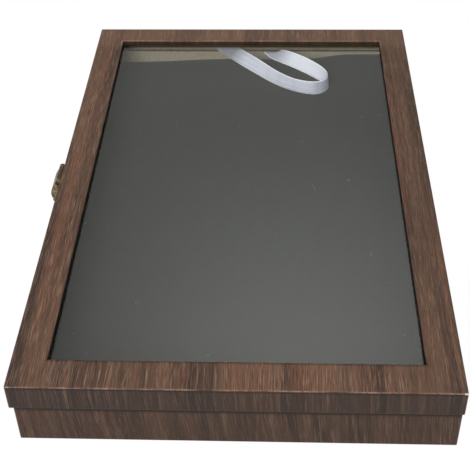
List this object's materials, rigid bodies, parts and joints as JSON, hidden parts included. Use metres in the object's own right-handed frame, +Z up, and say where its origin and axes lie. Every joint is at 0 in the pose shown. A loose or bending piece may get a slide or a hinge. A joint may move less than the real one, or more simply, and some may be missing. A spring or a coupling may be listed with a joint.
{
  "type": "pin display case",
  "caption": "Shallow display case for pins: a paper-covered tray with a foam pad under a hinged lid with a clear window, closed by a swinging latch and stayed by a ribbon.",
  "frame": {"origin": "middle of the tray's underside, on the surface it stands on", "axes": "+Z up, +Y from the front to the back along the long side, +X from the latch side to the hinge side"},
  "size_m": [0.2661, 0.4, 0.0468],
  "materials": {
    "grain_paper": "satin",
    "fibre_board": "matte",
    "lining_card": "matte",
    "foot_paper": "matte",
    "clear_acrylic": "gloss",
    "grey_board": "matte",
    "pad_foam": "matte",
    "pad_cloth": "matte",
    "satin_ribbon": "satin",
    "antique_brass": "satin"
  },
  "bodies": {
    "tray": {"foot_sheet": "foot_paper", "base_floor": "fibre_board", "base_wall_front": "fibre_board", "base_wall_back": "fibre_board", "base_wall_latch": "fibre_board", "base_wall_hinge": "fibre_board", "base_wrap_front": "grain_paper", "base_wrap_back": "grain_paper", "base_wrap_latch": "grain_paper", "base_wrap_hinge": "grain_paper", "base_lining_front": "lining_card", "base_lining_back": "lining_card", "base_lining_latch": "lining_card", "base_lining_hinge": "lining_card", "pad_board": "grey_board", "pad_foam": "pad_foam", "pad_cloth": "pad_cloth", "stay_ribbon": "satin_ribbon", "hinge_base_leaf_front": "antique_brass", "hinge_base_leaf_back": "antique_brass", "hinge_pin_front": "antique_brass", "hinge_pin_back": "antique_brass", "hinge_base_nails": "antique_brass", "catch_plate": "antique_brass", "catch_nails": "antique_brass"},
    "lid": {"lid_face_front": "fibre_board", "lid_face_back": "fibre_board", "lid_face_latch": "fibre_board", "lid_face_hinge": "fibre_board", "lid_skirt_front": "fibre_board", "lid_skirt_back": "fibre_board", "lid_skirt_latch": "fibre_board", "lid_skirt_hinge": "fibre_board", "lid_wrap_front": "grain_paper", "lid_wrap_back": "grain_paper", "lid_wrap_latch": "grain_paper", "lid_wrap_hinge": "grain_paper", "window_pane": "clear_acrylic", "pane_strip_front": "lining_card", "pane_strip_back": "lining_card", "pane_strip_latch": "lining_card", "pane_strip_hinge": "lining_card", "lid_lining_front": "lining_card", "lid_lining_back": "lining_card", "lid_lining_latch": "lining_card", "lid_lining_hinge": "lining_card", "hinge_lid_leaf_front": "antique_brass", "hinge_lid_leaf_back": "antique_brass", "hinge_lid_nails": "antique_brass", "latch_plate": "antique_brass", "latch_pin": "antique_brass", "latch_nails": "antique_brass"},
    "hasp": {"latch_hasp": "antique_brass"}
  },
  "joints": [
    {"name": "lid_open", "type": "hinge", "parent": "tray", "child": "lid", "pos_m": [0.1273, 0, 0.027], "axis": [0, 1, 0], "range_deg": [0, 85], "deforming": ["stay_ribbon"]},
    {"name": "hasp_swing", "type": "hinge", "parent": "lid", "child": "hasp", "pos_m": [-0.12985, 0, 0.0429], "axis": [0, 1, 0], "range_deg": [-13, 110]}
  ]
}
